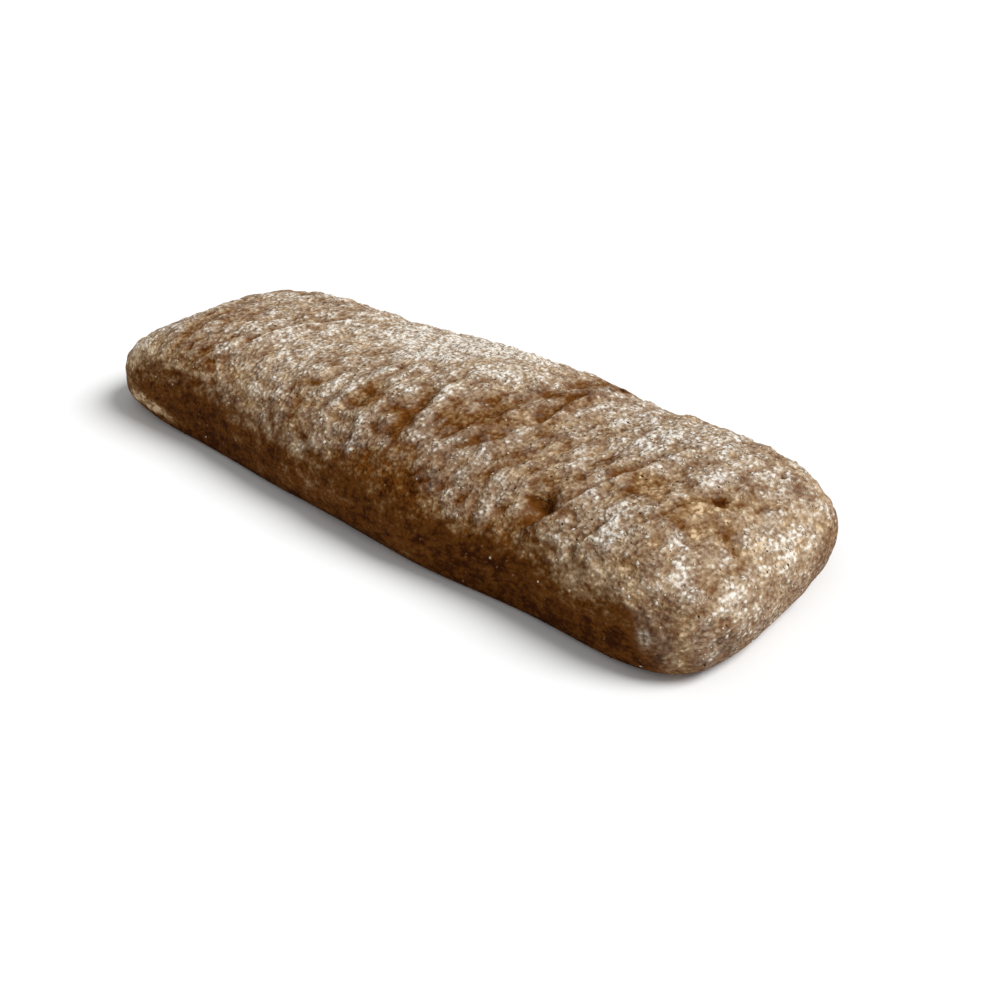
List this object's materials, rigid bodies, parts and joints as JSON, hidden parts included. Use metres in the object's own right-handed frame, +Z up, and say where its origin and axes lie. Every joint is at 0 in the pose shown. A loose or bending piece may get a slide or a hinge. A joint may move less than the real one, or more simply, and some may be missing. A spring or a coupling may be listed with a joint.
{
  "type": "ciabatta roll",
  "caption": "Long flat slipper-shaped bread roll with rounded ends, a folded and creased brown crust and a flour dusting, lying on its flat base.",
  "frame": {"origin": "middle of the loaf's flat base, at the centre of its footprint box", "axes": "+X along the loaf towards its broad end, +Y across it, +Z up"},
  "size_m": [0.22, 0.092, 0.03],
  "materials": {
    "crust": "dull baked crust, dark brown, granular, filmed with flour",
    "flour": "dry matt off-white flour grains and clumps",
    "bran": "dull dark brown bran flakes baked into the crust"
  },
  "bodies": {
    "root": {"ciabatta_roll": "crust"}
  },
  "joints": []
}
